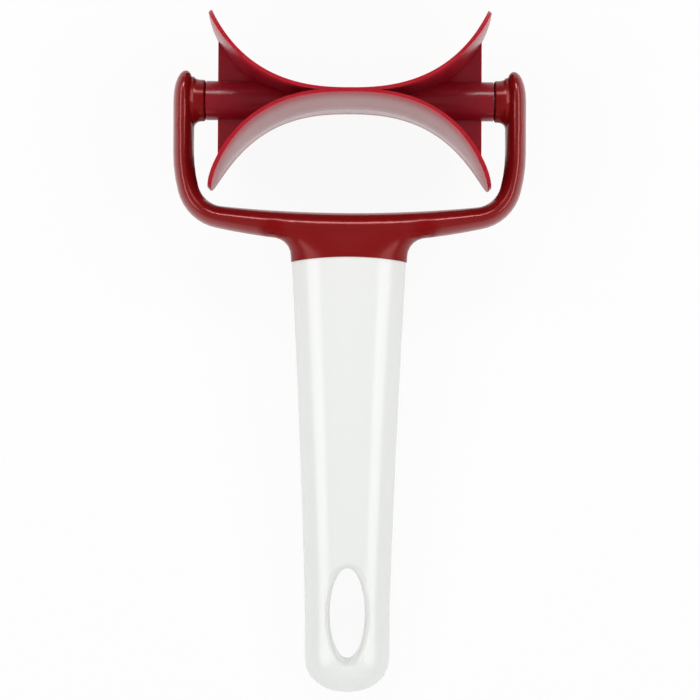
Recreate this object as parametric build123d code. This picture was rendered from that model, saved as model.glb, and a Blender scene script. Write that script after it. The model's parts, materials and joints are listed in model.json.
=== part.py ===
from build123d import *

import os
from math import acos, asin, atan2, copysign, cos, degrees, hypot, radians, sin, sqrt, tan

# A hand-held roller that cuts discs out of rolled-out dough.
# The pieces are drawn in the plane of the tool: X along the axle, Y from the grip to the roller,
# Z up, with the middle of the axle at the origin. At the end the tool is laid on a table, as it is
# put down: it rests on the roller and on the end of the grip.

# Driving dimensions, in millimetres and degrees.

# Cutter roller: two rounded outlines wrapped round one cylinder, back to back.
# Each outline has a half width, the height of its floor and the power that makes it fuller than an
# ellipse, at the mould's parting plane and at the rim.
ROLL_RADIUS = 26.4
TIP_BEVEL = 1.3
WALL_AT_PARTING = (41.7, 0.0, 2.8)
WALL_AT_RIM = (41.0, -0.4, 2.44)
HOLLOW_AT_PARTING = (40.55, 2.35, 2.28)
HOLLOW_AT_RIM = (40.65, 0.6, 2.43)
WEB_HALF_WIDTH = 38.6
WEB_THICKNESS = 2.2
HUB_RADIUS = 5.75
HUB_END = 42.0
# How far the roller is turned from the plane of the tool.
ROLLER_TURN = -1.75

# Axle pins and their fits.
PIN_RADIUS = 2.0
PIN_INNER_END = 34.0
PIN_OUTER_END = 48.8
PIN_CHAMFER = 0.4
RUNNING_CLEARANCE = 0.05
BORE_END_ROOM = 0.6

# Yoke: arms, cross-bar and bosses.
ARM_X = 48.65
ARM_TOP = 8.8
ARM_TOP_LEAN = 0.6
ARM_HALF_WIDTH = 3.05
ARM_BEND_Y = -15.4
ARM_BEND_RADIUS = 41.0
ARM_BEND_ANGLE = 15.0
BAR_Y = -37.1
BAR_BOW_RADIUS = 250.0
BAR_HALF_WIDTH = 4.3
CORNER_HALF_WIDTH = 3.27
YOKE_HALF_DEPTH = 6.7
BOSS_RADIUS = 6.1
BOSS_FACE = 42.3
BOSS_FILLET = 2.2
BOSS_CHAMFER = 0.4
BOSS_FOOT_X = 43.5
BOSS_UPPER_FLARE = 0.5
BOSS_ROOT_X = 47.6
BOSS_ROOT_HALF_DEPTH = 5.0

# Neck, seam and grip.
NECK_FILLET = 5.4
NECK_FOOT_Y = -45.5
NECK_BEND_Y = -39.3
NECK_BEND_HALF_WIDTH = 24.2
NECK_ROOT_HALF_WIDTH = 25.0
NECK_ROOT_SINK = 0.05
NECK_ROOT_POWER = 4.0
SEAM_STEP = 0.25
SEAM_MIDDLE_Y = -45.9
SEAM_SIDE_DROP = 1.3
GRIP_TOP_Y = -46.0
GRIP_TOP_HALF_WIDTH = 16.8
GRIP_TOP_HALF_DEPTH = 8.3
GRIP_NARROW_Y = -162.8
GRIP_NARROW_HALF_WIDTH = 12.2
GRIP_NARROW_HALF_DEPTH = 8.0
GRIP_TAPER_POWER = 1.35
GRIP_END_Y = -173.2
GRIP_END_FLARE = 0.25
GRIP_END_FLARE_POWER = 30
HANG_HOLE_Y = -150.2
HANG_HOLE_HALF_WIDTH = 5.15
HANG_HOLE_HALF_LENGTH = 13.7
HANG_HOLE_ROUNDING = 2.4
HANG_HOLE_LAST_ANGLE = 74.0
HANG_HOLE_OVERRUN = 0.25
GRIP_WALL = 2.7
CAVITY_END_Y = -118.0
TANG_END_Y = -92.0
TANG_RIB = 2.4
PLUG_LENGTH = 9.0
TANG_CLEARANCE = 0.15

# Rounded ends follow |x|^p + |y|^p = 1 with this power.
DOME_POWER = 2.2

# Stations along the lofted pieces, close together where the form turns.
OUTLINE_STEPS = 9
DRAFT_STEPS = 6
SECTION_POINTS = 24
DOME_ANGLES = (84, 74, 62, 48, 33, 17, 0)
ARM_STEPS = 3
ARM_BEND_STEPS = 3
CORNER_STEPS = 8
BAR_STEPS = 8
BOSS_FLARE_ANGLES = (0, 20, 40, 60, 80)
NECK_FLARE_ANGLES = (0, 16, 32, 48, 64, 78)
GRIP_STEPS = 8
HANG_HOLE_STEPS = 8

# The wall tips run a little past the cylinder, which then trims them.
TIP_OVERRUN = 0.4
WRAP_RADIUS = ROLL_RADIUS + TIP_OVERRUN


def dome(share, power=DOME_POWER):
    """Size of a rounded end, as a share of its full size, part of the way to its tip."""
    return (1.0 - share**power) ** (1.0 / power)


def between(start, end, share):
    """Value a share of the way from start to end."""
    return start + (end - start) * share


def along_axle(radius, start, end):
    """Cylinder round the axle from one X to another."""
    return Pos((start + end) / 2, 0, 0) * Rot(0, 90, 0) * Cylinder(radius, abs(end - start))


def both_sides(shape):
    """The shape and its mirror image in the tool's middle plane."""
    return shape + mirror(shape, about=Plane.YZ)


def wrapped_outline(half_width, floor, power):
    """Region above a rounded outline that is wrapped round the roller and seen along Z."""
    reach = acos(floor / WRAP_RADIUS)
    points = []
    for step in range(-OUTLINE_STEPS, OUTLINE_STEPS + 1):
        share = sin(radians(90) * step / OUTLINE_STEPS)
        height = WRAP_RADIUS * cos(reach * dome(abs(share), power))
        points.append((half_width * share, height))
    lid = 2 * WRAP_RADIUS - ROLL_RADIUS
    closing = Polyline(points[-1], (half_width, lid), (-half_width, lid), points[0])
    return make_face(Spline(points) + closing)


def drafted(at_parting, at_rim):
    """Solid above a wrapped outline that changes from the mould's parting plane to both rims."""
    sections = []
    for step in range(DRAFT_STEPS + 1):
        share = step / DRAFT_STEPS
        outline = [between(start, end, share) for start, end in zip(at_parting, at_rim)]
        sections.append(Pos(0, 0, ROLL_RADIUS * share) * wrapped_outline(*outline))
    half = loft(sections, ruled=True)
    return half + mirror(half, about=Plane.XY)


def cutter_roller():
    """One moulding: two wrapped cutting walls, a flat web between them and a hub at each end."""
    wall = drafted(WALL_AT_PARTING, WALL_AT_RIM)
    hollow = drafted(HOLLOW_AT_PARTING, HOLLOW_AT_RIM)
    web = Box(2 * WEB_HALF_WIDTH, 2 * ROLL_RADIUS, WEB_THICKNESS)
    hubs = along_axle(HUB_RADIUS, -HUB_END, HUB_END)
    # The turned outside of the roller, bevelled where the tips of the walls are.
    barrel = along_axle(ROLL_RADIUS, -HUB_END, HUB_END)
    barrel = chamfer(barrel.edges().filter_by(GeomType.CIRCLE), TIP_BEVEL)
    blank = (wall + mirror(wall, about=Plane.XZ) + web + hubs) & barrel
    bore_end = PIN_INNER_END - BORE_END_ROOM
    bore = along_axle(PIN_RADIUS + RUNNING_CLEARANCE, bore_end, HUB_END + BORE_END_ROOM)
    return blank - hollow - mirror(hollow, about=Plane.XZ) - both_sides(bore)


def yoke_section(x, y, heading, half_width, size=1.0):
    """Oval cross-section of the yoke at a place on its run."""
    along = (cos(radians(heading)), sin(radians(heading)), 0)
    outward = (-along[1], along[0], 0)
    oval = Ellipse(half_width * size, YOKE_HALF_DEPTH * size)
    return Plane(origin=(x, y, 0), x_dir=outward, z_dir=along) * oval


def right_stations():
    """Stations down the right arm, round its corner and along the bar to the middle.

    Each one is its X and Y, its heading, its half width and its relative size.
    """
    for angle in DOME_ANGLES:
        rise = sin(radians(angle))
        x = ARM_X - ARM_TOP_LEAN * rise**2
        yield x, ARM_TOP * rise, -90, ARM_HALF_WIDTH, dome(rise)
    for step in range(1, ARM_STEPS):
        yield ARM_X, ARM_BEND_Y * step / ARM_STEPS, -90, ARM_HALF_WIDTH, 1.0
    # The arm bends gently inwards before the corner.
    for step in range(ARM_BEND_STEPS + 1):
        turn = ARM_BEND_ANGLE * step / ARM_BEND_STEPS
        x = ARM_X - ARM_BEND_RADIUS * (1 - cos(radians(turn)))
        y = ARM_BEND_Y - ARM_BEND_RADIUS * sin(radians(turn))
        yield x, y, -90 - turn, ARM_HALF_WIDTH, 1.0
    # The corner's arc is tangent to the bend's end and to the bowed bar's arc.
    bow_y = BAR_Y + BAR_BOW_RADIUS
    towards_centre = (-cos(radians(turn)), sin(radians(turn)))
    from_bow = (x, y - bow_y)
    lean = from_bow[0] * towards_centre[0] + from_bow[1] * towards_centre[1]
    corner_radius = (BAR_BOW_RADIUS**2 - hypot(*from_bow) ** 2) / (2 * (BAR_BOW_RADIUS + lean))
    corner_x = x + corner_radius * towards_centre[0]
    corner_y = y + corner_radius * towards_centre[1]
    bar_angle = degrees(asin(corner_x / (BAR_BOW_RADIUS - corner_radius)))
    for step in range(1, CORNER_STEPS + 1):
        share = step / CORNER_STEPS
        turn = between(ARM_BEND_ANGLE, 90 - bar_angle, share)
        x = corner_x + corner_radius * cos(radians(turn))
        y = corner_y - corner_radius * sin(radians(turn))
        yield x, y, -90 - turn, between(ARM_HALF_WIDTH, CORNER_HALF_WIDTH, share), 1.0
    for step in range(1, BAR_STEPS + 1):
        share = 1 - step / BAR_STEPS
        slope = bar_angle * share
        x = BAR_BOW_RADIUS * sin(radians(slope))
        y = bow_y - BAR_BOW_RADIUS * cos(radians(slope))
        half_width = between(BAR_HALF_WIDTH, CORNER_HALF_WIDTH, share**2)
        yield x, y, slope - 180, half_width, 1.0


def u_frame():
    """Both arms and the cross-bar, as one run from arm end to arm end."""
    right = list(right_stations())
    left = [(-x, y, -heading, *size) for x, y, heading, *size in reversed(right[:-1])]
    return loft([yoke_section(*station) for station in right + left], ruled=True)


def boss():
    """Boss inside the right arm: a round face, and a foot that flares along the arm."""
    face_end = along_axle(BOSS_RADIUS, BOSS_FACE, BOSS_FOOT_X)
    face_end = chamfer(face_end.edges().filter_by(GeomType.CIRCLE).sort_by(Axis.X)[0], BOSS_CHAMFER)
    sections = []
    for angle in BOSS_FLARE_ANGLES:
        x = BOSS_FOOT_X + BOSS_FILLET * sin(radians(angle))
        below = BOSS_FILLET * (1 - cos(radians(angle)))
        above = below * BOSS_UPPER_FLARE
        half_length = BOSS_RADIUS + (above + below) / 2
        middle = Pos((above - below) / 2, 0)
        sections.append(Plane.YZ.offset(x) * middle * Ellipse(half_length, BOSS_RADIUS))
    # The last section lies inside the arm.
    root = middle * Ellipse(half_length, BOSS_ROOT_HALF_DEPTH)
    sections.append(Plane.YZ.offset(BOSS_ROOT_X) * root)
    return face_end + loft(sections, ruled=True)


def across_grip(y, half_width, half_depth):
    """Oval cross-section of the neck or grip at a Y."""
    plane = Plane(origin=(0, y, 0), x_dir=(1, 0, 0), z_dir=(0, -1, 0))
    return plane * Ellipse(half_width, half_depth)


def grip_share(y):
    """How far down the grip a Y lies: 0 at its top, 1 where its rounded end starts."""
    return (y - GRIP_TOP_Y) / (GRIP_NARROW_Y - GRIP_TOP_Y)


def grip_half_width(y):
    """Half width of the grip, which tapers to a slight waist just above its rounded end."""
    share = grip_share(y)
    taper = (GRIP_TOP_HALF_WIDTH - GRIP_NARROW_HALF_WIDTH) * (1 - share) ** GRIP_TAPER_POWER
    flare = GRIP_END_FLARE * abs(share) ** GRIP_END_FLARE_POWER
    return GRIP_NARROW_HALF_WIDTH + taper + flare


def grip_half_depth(y):
    """Half thickness of the grip."""
    return between(GRIP_TOP_HALF_DEPTH, GRIP_NARROW_HALF_DEPTH, grip_share(y))


def inside_grip(y, clearance=0.0):
    """Half width and half thickness of the grip's cavity at a Y, less a clearance."""
    margin = GRIP_WALL + clearance
    return grip_half_width(y) - margin, grip_half_depth(y) - margin


def grip_side():
    """Everything on the grip's side of the arched seam."""
    radius = (GRIP_TOP_HALF_WIDTH**2 + SEAM_SIDE_DROP**2) / (2 * SEAM_SIDE_DROP)
    return Pos(0, SEAM_MIDDLE_Y - radius, 0) * Cylinder(radius, 4 * GRIP_TOP_HALF_DEPTH)


def across_neck(y, half_width):
    """Cross-section of the neck at a Y: oval at the seam and flatter in front and behind at the bar."""
    share = max((y - NECK_FOOT_Y) / (BAR_Y - NECK_FOOT_Y), 0)
    power = between(2.0, NECK_ROOT_POWER, share)
    # The front starts along the bar's crest and thickens towards the grip.
    root_half_depth = YOKE_HALF_DEPTH - NECK_ROOT_SINK
    half_depth = between(GRIP_TOP_HALF_DEPTH + SEAM_STEP, root_half_depth, share)
    points = []
    for step in range(SECTION_POINTS):
        angle = radians(360 * step / SECTION_POINTS)
        across = half_width * copysign(abs(cos(angle)) ** (2 / power), cos(angle))
        up = half_depth * copysign(abs(sin(angle)) ** (2 / power), sin(angle))
        points.append((across, up))
    plane = Plane(origin=(0, y, 0), x_dir=(1, 0, 0), z_dir=(0, -1, 0))
    return plane * make_face(Spline(points, periodic=True))


def neck():
    """Neck that flares into the bar and stands a small step proud of the grip at the seam."""
    low_y = SEAM_MIDDLE_Y - 2 * SEAM_SIDE_DROP
    foot_half_width = grip_half_width(NECK_FOOT_Y) + SEAM_STEP
    sections = [across_neck(low_y, grip_half_width(low_y) + SEAM_STEP)]
    for angle in NECK_FLARE_ANGLES:
        y = NECK_FOOT_Y + NECK_FILLET * sin(radians(angle))
        sections.append(across_neck(y, foot_half_width + NECK_FILLET * (1 - cos(radians(angle)))))
    # The sides of the last two sections lie inside the bar.
    sections.append(across_neck(NECK_BEND_Y, NECK_BEND_HALF_WIDTH))
    sections.append(across_neck(BAR_Y, NECK_ROOT_HALF_WIDTH))
    return loft(sections, ruled=True)


def tang():
    """What holds the yoke in the grip: a plug in the cavity's mouth and a cross of ribs below it."""
    plug_end_y = SEAM_MIDDLE_Y - PLUG_LENGTH
    plug_sections = []
    for y in (NECK_FOOT_Y + SEAM_SIDE_DROP, plug_end_y):
        plug_sections.append(across_grip(y, *inside_grip(y, TANG_CLEARANCE)))
    shape = loft(plug_sections)
    flat_points, upright_points = [], []
    for y in (NECK_FOOT_Y, TANG_END_Y):
        half_width, half_depth = inside_grip(y)
        flat_half = half_width * sqrt(1 - (TANG_RIB / 2 / half_depth) ** 2) - TANG_CLEARANCE
        upright_half = half_depth * sqrt(1 - (TANG_RIB / 2 / half_width) ** 2) - TANG_CLEARANCE
        flat_points.append((flat_half, y))
        upright_points.append((y, upright_half))
    flat_points += [(-x, y) for x, y in reversed(flat_points)]
    upright_points += [(y, -z) for y, z in reversed(upright_points)]
    shape += extrude(Polygon(*flat_points, align=None), TANG_RIB / 2, both=True)
    shape += extrude(Plane.YZ * Polygon(*upright_points, align=None), TANG_RIB / 2, both=True)
    return shape


def yoke():
    """Frame, bosses, neck and tang as one moulding, with a blind bore for a pin in each boss."""
    bore = along_axle(PIN_RADIUS, BOSS_FACE - BORE_END_ROOM, PIN_OUTER_END)
    shape = u_frame() + both_sides(boss()) + neck() - grip_side()
    return shape + tang() - both_sides(bore)


def rounding_over(height, face_height):
    """How much wider the hanging hole is at a height, where it is rounded over into a face."""
    rise = height - face_height + HANG_HOLE_ROUNDING
    last = HANG_HOLE_ROUNDING * sin(radians(HANG_HOLE_LAST_ANGLE))
    arc = HANG_HOLE_ROUNDING - sqrt(HANG_HOLE_ROUNDING**2 - min(max(rise, 0), last) ** 2)
    return arc + max(rise - last, 0) * tan(radians(HANG_HOLE_LAST_ANGLE))


def hang_hole():
    """Oval through-hole, rounded over where it meets both faces of the grip."""
    side_share = (HANG_HOLE_HALF_WIDTH + HANG_HOLE_ROUNDING / 2) / grip_half_width(HANG_HOLE_Y)
    end_height = grip_half_depth(HANG_HOLE_Y)
    side_height = end_height * sqrt(1 - side_share**2)
    start_height = side_height - HANG_HOLE_ROUNDING
    upper = []
    for step in range(HANG_HOLE_STEPS + 1):
        height = between(start_height, end_height + HANG_HOLE_OVERRUN, sqrt(step / HANG_HOLE_STEPS))
        half_width = HANG_HOLE_HALF_WIDTH + rounding_over(height, side_height)
        half_length = HANG_HOLE_HALF_LENGTH + rounding_over(height, end_height)
        upper.append((height, half_width, half_length))
    lower = [(-height, *oval) for height, *oval in reversed(upper)]
    sections = [Pos(0, HANG_HOLE_Y, height) * Ellipse(*oval) for height, *oval in lower + upper]
    return loft(sections, ruled=True)


def handle():
    """Hollow grip, open at the seam, with a rounded end and a hanging hole."""
    top_y = SEAM_MIDDLE_Y + SEAM_SIDE_DROP
    body_sections, end_sections, cavity_sections = [], [], []
    for step in range(GRIP_STEPS + 1):
        y = between(top_y, GRIP_NARROW_Y, step / GRIP_STEPS)
        body_sections.append(across_grip(y, grip_half_width(y), grip_half_depth(y)))
        y = between(top_y, CAVITY_END_Y, step / GRIP_STEPS)
        cavity_sections.append(across_grip(y, *inside_grip(y)))
    for angle in reversed(DOME_ANGLES):
        drop = sin(radians(angle))
        y = between(GRIP_NARROW_Y, GRIP_END_Y, drop)
        half_width = grip_half_width(GRIP_NARROW_Y) * dome(drop)
        end_sections.append(across_grip(y, half_width, GRIP_NARROW_HALF_DEPTH * dome(drop)))
    outside = loft(body_sections + end_sections[1:], ruled=True) & grip_side()
    return outside - loft(cavity_sections, ruled=True) - hang_hole()


def axle_pin():
    """Right-hand pin, chamfered at both ends."""
    pin = along_axle(PIN_RADIUS, PIN_INNER_END, PIN_OUTER_END)
    return chamfer(pin.edges().filter_by(GeomType.CIRCLE), PIN_CHAMFER)


def rest_tilt():
    """Angle at which the tool lies, tipped about the axle until the grip's end meets the table."""
    tilts = []
    for angle in range(90):
        drop = sin(radians(angle))
        y = between(GRIP_NARROW_Y, GRIP_END_Y, drop)
        half_depth = GRIP_NARROW_HALF_DEPTH * dome(drop)
        tilts.append(degrees(asin(ROLL_RADIUS / hypot(y, half_depth)) - atan2(half_depth, -y)))
    return min(tilts)


pieces = {
    "cutter_roller": Rot(ROLLER_TURN, 0, 0) * cutter_roller(),
    "yoke": yoke(),
    "handle": handle(),
    "axle_pin_right": axle_pin(),
    "axle_pin_left": mirror(axle_pin(), about=Plane.YZ),
}

# The tool lies on the table at Z = 0, with the middle of its box at the origin.
tipped = Rot(rest_tilt(), 0, 0)
rear_y = (tipped * pieces["handle"]).bounding_box().min.Y
front_y = (tipped * pieces["cutter_roller"]).bounding_box().max.Y
at_rest = Pos(0, -(front_y + rear_y) / 2, ROLL_RADIUS) * tipped

os.makedirs("parts", exist_ok=True)
for name, piece in pieces.items():
    export_step(at_rest * piece, f"parts/{name}.step")
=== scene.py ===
import json
from math import cos, pi, radians, sin

import bpy
from mathutils import Matrix, Vector

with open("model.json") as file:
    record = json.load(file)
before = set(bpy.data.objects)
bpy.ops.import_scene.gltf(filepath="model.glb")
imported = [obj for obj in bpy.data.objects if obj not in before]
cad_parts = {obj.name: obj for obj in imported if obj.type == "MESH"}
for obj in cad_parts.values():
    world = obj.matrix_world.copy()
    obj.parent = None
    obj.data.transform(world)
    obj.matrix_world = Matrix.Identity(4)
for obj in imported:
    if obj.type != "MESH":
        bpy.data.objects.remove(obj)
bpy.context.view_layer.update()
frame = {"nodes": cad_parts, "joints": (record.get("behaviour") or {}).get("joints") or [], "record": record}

MM = 0.001
WHITE = (1, 1, 1, 1)

# The tool's own axes, from the middle of the axle: across it, along it from grip to roller, and up
# out of its plane, which is how the hanging hole points.
AXLE = Vector(frame["joints"][0]["pos_m"])
ACROSS = Vector((1, 0, 0))
UP = Vector(frame["record"]["mounts"][0]["axis"]).normalized()
ALONG = UP.cross(ACROSS)

# Camera, in millimetres along the tool's axes. Its target is across and along. The roll is in
# degrees, and the far clip in metres.
VIEW_TARGET = (0.42, -72.96)
VIEW_FROM_SIDE = 1.5
VIEW_DISTANCE = 745.6
VIEW_ROLL = 0.28
FIELD_WIDTH = 205.3
SENSOR_WIDTH = 36.0
FAR_CLIP = 100.0

# Softboxes: the angle from the camera's axis, the distance, the shift along the tool, the width and
# the length, in degrees and metres, and the brightness of the face, where 1 is white. The compass
# angle goes round the camera's axis, from 0 on the tool's right to 90 past the roller.
SIDE_SOFTBOX = dict(off_axis=46, distance=0.75, shift=0.15, width=0.3, length=1.1, brightness=2.5)
TOP_SOFTBOX = dict(off_axis=48, distance=0.85, shift=0.0, width=0.18, length=0.4, brightness=7.0)
SOFTBOXES = {
    "left_softbox": dict(SIDE_SOFTBOX, compass=180),
    "right_softbox": dict(SIDE_SOFTBOX, compass=0),
    "top_softbox": dict(TOP_SOFTBOX, compass=90),
}
# A broad lamp from the grip's end fills the shade. Glossy surfaces don't mirror it.
FILL_OFF_AXIS = 45
FILL_DISTANCE = 2.0
FILL_SIZE = 1.6
FILL_BRIGHTNESS = 1.56

# The room changes from its brightness at the horizon to that overhead between two heights of a
# direction of length 1.
ROOM_HEIGHTS = (0.05, 0.4)
ROOM_BRIGHTNESS = (0.65, 0.22)

# The floor's size is in metres. Its white shares are how white it looks to the camera, and in what
# is mirrored, apart from the light on it.
FLOOR_SIZE = 12.0
FLOOR_COLOUR = (0.84, 0.84, 0.84, 1)
FLOOR_WHITE_SEEN = 0.92
FLOOR_WHITE_MIRRORED = 0.85

# Every plastic has clouds in its colour, patches in its gloss and a moulded grain. Sizes are in
# millimetres, and detail is the number of finer layers of noise.
CLOUD_SIZE = 22
CLOUD_DETAIL = 3
GLOSS_PATCH_SIZE = 4
GLOSS_PATCH_DETAIL = 2
GRAIN_DETAIL = 2
# Directions tried at a point, to find how open the place is, for the painted shade that takes the gloss out
# of gaps and tight corners.
OPENNESS_SAMPLES = 8

# A plastic's finish: its colour, the share of that in its darkest clouds, its roughness and how
# much that varies, and the size and depth of its grain in millimetres.
GRIP_FINISH = dict(
    colour=(0.86, 0.875, 0.85),
    cloud_share=0.985,
    roughness=0.15,
    variation=0.03,
    grain_size=1.6,
    grain_depth=0.004,
)
YOKE_FINISH = dict(
    colour=(0.225, 0.006, 0.007),
    cloud_share=0.9,
    roughness=0.19,
    variation=0.03,
    grain_size=0.35,
    grain_depth=0.002,
)
ROLLER_FINISH = dict(
    colour=(0.33, 0.008, 0.02),
    cloud_share=0.93,
    roughness=0.22,
    variation=0.04,
    grain_size=1.2,
    grain_depth=0.003,
)

# The yoke's gloss, and where it changes, in millimetres from the axle's middle: along the tool from
# neck to bar and from arm to boss, across it from boss to arm, and away from the corner where the
# neck flares into the bar. The neck is also rougher than the bar.
YOKE_IOR = 1.75
YOKE_GLOSS_TINT = (1, 0.4, 0.4, 1)
# Painted shade: the yoke's gaps and tight corners lose their gloss by how enclosed they are.
YOKE_PAINTED_GAP_SHADE = dict(reach=8, openness=(0.7, 1.0))
NECK_TO_BAR = (-40, -34)
NECK_TO_BAR_GLOSS = (0.32, 0.75)
NECK_TO_BAR_ROUGHER = (0.06, 0)
ARM_TO_BOSS = (-12, -8)
BOSS_TO_ARM = (44, 46.5)
BOSS_GLOSS = 0.4
NECK_CORNER = (22.3, -38.7, 0)
CORNER_TO_FACES = (2.2, 5.5)
CORNER_GLOSS = 0.08

# The roller's gloss changes towards its rims, and its colour is painted a brighter red there, a painted glow
# of light shining through the thin rims. Where they do is in millimetres from the axle. The share of gloss
# is raised to a power.
ROLLER_SUBSURFACE = {
    "Subsurface Weight": 0.8,
    "Subsurface Radius": (1, 0.12, 0.16),
    "Subsurface Scale": 1.5 * MM,
}
ROLLER_GLOSS = 0.5
# Painted shade: the roller's gaps and tight corners lose their gloss by how enclosed they are.
ROLLER_PAINTED_GAP_SHADE = dict(reach=2.5, openness=(0.35, 0.8))
HUB_TO_RIM = (12, 25.5)
HUB_TO_RIM_SHARE = (1, 0.18)
HUB_TO_RIM_POWER = 2
# Painted glow: the colour turns a brighter red between these radii, for light shining through the thin rims.
WALL_TO_PAINTED_RIM_GLOW = (19, 26.4)
PAINTED_RIM_GLOW_COLOUR = (0.42, 0.02, 0.034)

# The pins' steel, with lines of two shades. Their size is in millimetres.
STEEL_SHADES = ((0.55, 0.55, 0.56), (0.66, 0.66, 0.67))
STEEL_LINE_SIZE = 1.2
STEEL_LINE_DISTORTION = 3
STEEL_ROUGHNESS = 0.3

# Edges of the solids that turn by more than this angle in degrees are creases. Corners of facets
# that are this near, in millimetres, are one corner.
CREASE_ANGLE = 28.0
WELD_DISTANCE = 0.002


def tool_point(across, along, up=0.0):
    """Point in the shared frame from millimetres along the tool's axes."""
    return AXLE + (ACROSS * across + ALONG * along + UP * up) * MM


def facing(location, target, upward):
    """World matrix of a camera or lamp at a place, looking at another."""
    back = (location - target).normalized()
    side = upward.cross(back).normalized()
    top = back.cross(side)
    rotation = Matrix((side, top, back)).transposed()
    return Matrix.Translation(location) @ rotation.to_4x4()


def add_camera():
    """Camera nearly square above the tool's plane, as in the photograph."""
    data = bpy.data.cameras.new("camera")
    data.sensor_width = SENSOR_WIDTH
    data.lens = SENSOR_WIDTH * VIEW_DISTANCE / FIELD_WIDTH
    data.clip_end = FAR_CLIP
    camera = bpy.data.objects.new("camera", data)
    bpy.context.scene.collection.objects.link(camera)
    target = tool_point(*VIEW_TARGET)
    place = tool_point(VIEW_FROM_SIDE, VIEW_TARGET[1], VIEW_DISTANCE)
    roll = radians(VIEW_ROLL)
    camera.matrix_world = facing(place, target, ALONG * cos(roll) - ACROSS * sin(roll))
    bpy.context.scene.camera = camera


def add_lamp(name, place, target, upward, width, length, brightness):
    """Rectangular lamp that faces a place, with the brightness of its face."""
    data = bpy.data.lights.new(name, "AREA")
    data.shape = "RECTANGLE"
    data.size = length
    data.size_y = width
    data.energy = brightness * pi * width * length
    lamp = bpy.data.objects.new(name, data)
    bpy.context.scene.collection.objects.link(lamp)
    lamp.matrix_world = facing(place, target, upward)
    return lamp


def add_softbox(name, off_axis, compass, distance, shift, width, length, brightness):
    """Softbox that faces the tool, with its long side parallel to the tool's plane."""
    target = tool_point(*VIEW_TARGET) + ALONG * shift
    outward = ACROSS * cos(radians(compass)) + ALONG * sin(radians(compass))
    place = target + (outward * sin(radians(off_axis)) + UP * cos(radians(off_axis))) * distance
    add_lamp(name, place, target, UP, width, length, brightness)


def add_fill():
    """Fill lamp, which only lights matt colour."""
    target = tool_point(*VIEW_TARGET)
    tilt = radians(FILL_OFF_AXIS)
    place = target + (UP * cos(tilt) - ALONG * sin(tilt)) * FILL_DISTANCE
    lamp = add_lamp("fill", place, target, ALONG, FILL_SIZE, FILL_SIZE, FILL_BRIGHTNESS)
    lamp.visible_glossy = False


class Nodes:
    """Short way to build a node tree."""

    def __init__(self, tree):
        self.tree = tree
        tree.nodes.clear()

    def set(self, socket, value):
        """Links an output to a socket, or sets the socket to a number, vector or colour."""
        if isinstance(value, bpy.types.NodeSocket):
            self.tree.links.new(value, socket)
        else:
            socket.default_value = value

    def add(self, kind, inputs=None, **settings):
        """Node with its settings, and what goes into its sockets by their names or numbers."""
        node = self.tree.nodes.new(kind)
        for name, value in settings.items():
            setattr(node, name, value)
        for name, value in (inputs or {}).items():
            self.set(node.inputs[name], value)
        return node

    def math(self, operation, first, second):
        """Number worked out from two numbers."""
        return self.add("ShaderNodeMath", {0: first, 1: second}, operation=operation).outputs[0]

    def vector(self, operation, first, second=(0, 0, 0)):
        """Vector or number worked out from two vectors. A length takes only the first."""
        node = self.add("ShaderNodeVectorMath", {0: first, 1: second}, operation=operation)
        gives_number = operation in ("LENGTH", "DISTANCE", "DOT_PRODUCT")
        return node.outputs["Value" if gives_number else "Vector"]

    def ramp(self, value, limits, results, interpolation="SMOOTHSTEP"):
        """Number that goes from one result to another while a value goes between two limits."""
        inputs = {
            "Value": value,
            "From Min": limits[0],
            "From Max": limits[1],
            "To Min": results[0],
            "To Max": results[1],
        }
        return self.add("ShaderNodeMapRange", inputs, interpolation_type=interpolation).outputs[0]

    def fade(self, distance, limits, results):
        """Ramp between two distances in millimetres."""
        return self.ramp(distance, [limit * MM for limit in limits], results)

    def place(self):
        """Place of a point in the shared frame, at rest."""
        return self.add("ShaderNodeTexCoord").outputs["Object"]

    def from_axle(self):
        """Way to a point from the middle of the axle."""
        return self.vector("SUBTRACT", self.place(), AXLE)

    def noise(self, size, detail):
        """Number from 0 to 1 that varies in patches of a size in millimetres."""
        inputs = {"Vector": self.place(), "Scale": 1 / (size * MM), "Detail": detail}
        return self.add("ShaderNodeTexNoise", inputs).outputs["Fac"]

    def mix_colours(self, first, second, share):
        """Colour between two, with a share of the second."""
        node = self.add("ShaderNodeMix", {"Factor": share}, data_type="RGBA")
        for name, colour in (("A", first), ("B", second)):
            socket = [s for s in node.inputs if s.name == name and s.type == "RGBA"][0]
            self.set(socket, colour if isinstance(colour, bpy.types.NodeSocket) else (*colour, 1))
        return [s for s in node.outputs if s.type == "RGBA"][0]

    def mix_shaders(self, first, second, share):
        """Mix of two shaders, with a share of the second."""
        inputs = {0: share, 1: first.outputs[0], 2: second.outputs[0]}
        return self.add("ShaderNodeMixShader", inputs)

    def white_share(self, seen, mirrored):
        """One share for a ray from the camera, another off or through gloss, 0 for other light."""
        ray = self.add("ShaderNodeLightPath").outputs
        gloss = self.math("MAXIMUM", ray["Is Glossy Ray"], ray["Is Transmission Ray"])
        in_gloss = self.math("MULTIPLY", gloss, mirrored)
        in_view = self.math("MULTIPLY", ray["Is Camera Ray"], seen)
        return self.math("MAXIMUM", in_view, in_gloss)


def new_material(name):
    """Material with an empty node tree, and the way to build that."""
    material = bpy.data.materials.new(name)
    material.use_nodes = True
    return material, Nodes(material.node_tree)


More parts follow.
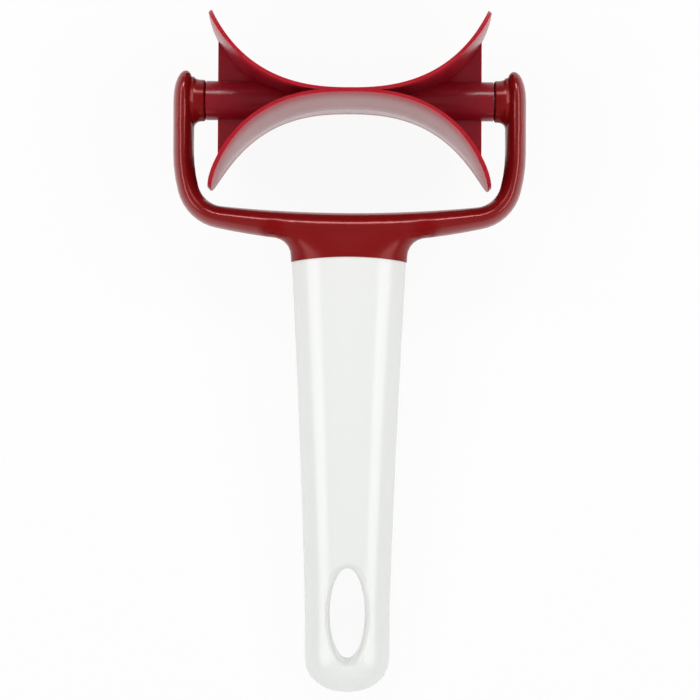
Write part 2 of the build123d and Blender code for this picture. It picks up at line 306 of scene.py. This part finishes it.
def light_the_room():
    """Room that is dim overhead and paler towards the horizon, with a white backdrop."""
    world = bpy.data.worlds.new("room")
    bpy.context.scene.world = world
    world.use_nodes = True
    nodes = Nodes(world.node_tree)
    direction = nodes.add("ShaderNodeTexCoord").outputs["Generated"]
    height = nodes.add("ShaderNodeSeparateXYZ", {0: direction}).outputs["Z"]
    brightness = nodes.ramp(height, ROOM_HEIGHTS, ROOM_BRIGHTNESS)
    room = nodes.add("ShaderNodeBackground", {"Color": WHITE, "Strength": brightness})
    backdrop = nodes.add("ShaderNodeBackground", {"Color": WHITE})
    seen = nodes.add("ShaderNodeLightPath").outputs["Is Camera Ray"]
    mix = nodes.mix_shaders(room, backdrop, seen)
    nodes.add("ShaderNodeOutputWorld", {"Surface": mix.outputs[0]})


def add_floor():
    """Pale floor that the tool lies on. It looks nearly white and keeps a soft shadow."""
    half = FLOOR_SIZE / 2
    mesh = bpy.data.meshes.new("floor")
    corners = [(-half, -half, 0), (half, -half, 0), (half, half, 0), (-half, half, 0)]
    mesh.from_pydata(corners, [], [(0, 1, 2, 3)])
    floor = bpy.data.objects.new("floor", mesh)
    bpy.context.scene.collection.objects.link(floor)
    material, nodes = new_material("floor")
    matt = nodes.add("ShaderNodeBsdfDiffuse", {"Color": FLOOR_COLOUR})
    white = nodes.add("ShaderNodeEmission", {"Color": WHITE})
    share = nodes.white_share(FLOOR_WHITE_SEEN, FLOOR_WHITE_MIRRORED)
    mix = nodes.mix_shaders(matt, white, share)
    nodes.add("ShaderNodeOutputMaterial", {"Surface": mix.outputs[0]})
    mesh.materials.append(material)


def moulded_plastic(name, colour, cloud_share, roughness, variation, grain_size, grain_depth):
    """Moulded plastic: a colour with faint clouds, uneven gloss and a fine moulded grain."""
    material, nodes = new_material(name)
    darkest = [channel * cloud_share for channel in colour]
    tint = nodes.mix_colours(colour, darkest, nodes.noise(CLOUD_SIZE, CLOUD_DETAIL))
    patches = nodes.noise(GLOSS_PATCH_SIZE, GLOSS_PATCH_DETAIL)
    uneven = nodes.ramp(patches, (0, 1), (roughness - variation, roughness + variation), "LINEAR")
    grain = nodes.noise(grain_size, GRAIN_DETAIL)
    bump = nodes.add("ShaderNodeBump", {"Distance": grain_depth * MM, "Height": grain})
    inputs = {"Base Color": tint, "Roughness": uneven, "Normal": bump.outputs[0]}
    shader = nodes.add("ShaderNodeBsdfPrincipled", inputs)
    nodes.add("ShaderNodeOutputMaterial", {"Surface": shader.outputs[0]})
    return material, nodes, shader


def linked(socket):
    """Output that goes into a socket."""
    return socket.links[0].from_socket


def gloss_with_painted_gap_shade(nodes, reach, openness):
    """Share of gloss: 1 on open faces and 0 in narrow gaps and tight corners, painted shade that takes their
    gloss away.
    """
    inputs = {"Distance": reach * MM}
    nearby = nodes.add("ShaderNodeAmbientOcclusion", inputs, samples=OPENNESS_SAMPLES)
    return nodes.ramp(nearby.outputs["AO"], openness, (0, 1))


def grip_plastic():
    """White plastic with a high gloss."""
    material, _, _ = moulded_plastic("grip_plastic", **GRIP_FINISH)
    return material


def yoke_plastic():
    """Dark red plastic with a satin gloss that is a little red itself.

    The neck, the bosses and the neck's corners have less gloss than the arms and bar.
    """
    material, nodes, shader = moulded_plastic("yoke_plastic", **YOKE_FINISH)
    nodes.set(shader.inputs["IOR"], YOKE_IOR)
    nodes.set(shader.inputs["Specular Tint"], YOKE_GLOSS_TINT)
    from_axle = nodes.from_axle()
    along = nodes.vector("DOT_PRODUCT", from_axle, ALONG)
    from_middle = nodes.vector("LENGTH", nodes.vector("MULTIPLY", from_axle, ACROSS))
    place = nodes.add("ShaderNodeCombineXYZ", {"X": from_middle, "Y": along}).outputs[0]
    from_corner = nodes.vector("DISTANCE", place, Vector(NECK_CORNER) * MM)

    beside_boss = nodes.fade(from_middle, BOSS_TO_ARM, (BOSS_GLOSS, 1))
    below_boss = nodes.fade(along, ARM_TO_BOSS, (1, BOSS_GLOSS))
    # One of these shares is painted shade, which takes the gloss out of gaps and tight corners.
    shares = (
        nodes.math("MAXIMUM", beside_boss, below_boss),
        gloss_with_painted_gap_shade(nodes, **YOKE_PAINTED_GAP_SHADE),
        nodes.fade(from_corner, CORNER_TO_FACES, (CORNER_GLOSS, 1)),
    )
    gloss = nodes.fade(along, NECK_TO_BAR, NECK_TO_BAR_GLOSS)
    for share in shares:
        gloss = nodes.math("MULTIPLY", gloss, share)
    nodes.set(shader.inputs["Specular IOR Level"], gloss)

    rougher = nodes.fade(along, NECK_TO_BAR, NECK_TO_BAR_ROUGHER)
    uneven = linked(shader.inputs["Roughness"])
    nodes.set(shader.inputs["Roughness"], nodes.math("ADD", uneven, rougher))
    return material


def roller_plastic():
    """Red plastic that light goes a little way into. Its thin rims are painted a brighter red, a painted
    glow of light shining through them, and are less glossy.
    """
    material, nodes, shader = moulded_plastic("roller_plastic", **ROLLER_FINISH)
    for name, value in ROLLER_SUBSURFACE.items():
        nodes.set(shader.inputs[name], value)
    radius = nodes.vector("LENGTH", nodes.vector("MULTIPLY", nodes.from_axle(), (0, 1, 1)))

    inner = nodes.fade(radius, HUB_TO_RIM, HUB_TO_RIM_SHARE)
    # Painted shade: gaps and tight corners lose their gloss.
    painted_gap_shade = gloss_with_painted_gap_shade(nodes, **ROLLER_PAINTED_GAP_SHADE)
    gloss = nodes.math("MULTIPLY", nodes.math("POWER", inner, HUB_TO_RIM_POWER), painted_gap_shade)
    nodes.set(shader.inputs["Specular IOR Level"], nodes.math("MULTIPLY", gloss, ROLLER_GLOSS))

    # Painted glow: the colour turns a brighter red towards the thin rims, for light shining through them.
    painted_glow = nodes.fade(radius, WALL_TO_PAINTED_RIM_GLOW, (0, 1))
    tint = linked(shader.inputs["Base Color"])
    nodes.set(shader.inputs["Base Color"], nodes.mix_colours(tint, PAINTED_RIM_GLOW_COLOUR, painted_glow))
    return material


def steel():
    """Drawn steel with fine lines round the pin."""
    material, nodes = new_material("pin_steel")
    inputs = {
        "Vector": nodes.place(),
        "Scale": 1 / (STEEL_LINE_SIZE * MM),
        "Distortion": STEEL_LINE_DISTORTION,
    }
    lines = nodes.add("ShaderNodeTexWave", inputs, bands_direction="X")
    tint = nodes.mix_colours(*STEEL_SHADES, lines.outputs["Fac"])
    inputs = {"Base Color": tint, "Metallic": 1, "Roughness": STEEL_ROUGHNESS}
    shader = nodes.add("ShaderNodeBsdfPrincipled", inputs)
    nodes.add("ShaderNodeOutputMaterial", {"Surface": shader.outputs[0]})
    return material


def smooth_shading():
    """Node group that shades a piece smoothly across joins in its surface and keeps its creases."""
    group = bpy.data.node_groups.new("smooth_shading", "GeometryNodeTree")
    group.interface.new_socket("Geometry", in_out="INPUT", socket_type="NodeSocketGeometry")
    group.interface.new_socket("Geometry", in_out="OUTPUT", socket_type="NodeSocketGeometry")
    nodes = Nodes(group)
    solid = nodes.add("NodeGroupInput").outputs[0]
    inputs = {"Geometry": solid, "Distance": WELD_DISTANCE * MM}
    weld = nodes.add("GeometryNodeMergeByDistance", inputs)
    turn = nodes.add("GeometryNodeInputMeshEdgeAngle").outputs["Unsigned Angle"]
    crease = nodes.math("GREATER_THAN", turn, radians(CREASE_ANGLE))
    inputs = {"Mesh": weld.outputs[0], "Edge Sharpness": crease}
    shade = nodes.add("GeometryNodeSetMeshNormal", inputs, mode="SHARPNESS")
    nodes.add("NodeGroupOutput", {0: shade.outputs[0]})
    return group


def dress(node, material, shading=None):
    """Gives a CAD node its finish."""
    piece = frame["nodes"][node]
    piece.data.materials.clear()
    piece.data.materials.append(material)
    if shading:
        piece.modifiers.new("smooth_shading", "NODES").node_group = shading


add_camera()
light_the_room()
add_floor()
for softbox, settings in SOFTBOXES.items():
    add_softbox(softbox, **settings)
add_fill()

shading = smooth_shading()
dress("handle", grip_plastic(), shading)
dress("yoke", yoke_plastic(), shading)
dress("cutter_roller", roller_plastic(), shading)
pins = steel()
dress("axle_pin_left", pins)
dress("axle_pin_right", pins)

bpy.context.scene.view_settings.view_transform = "Standard"
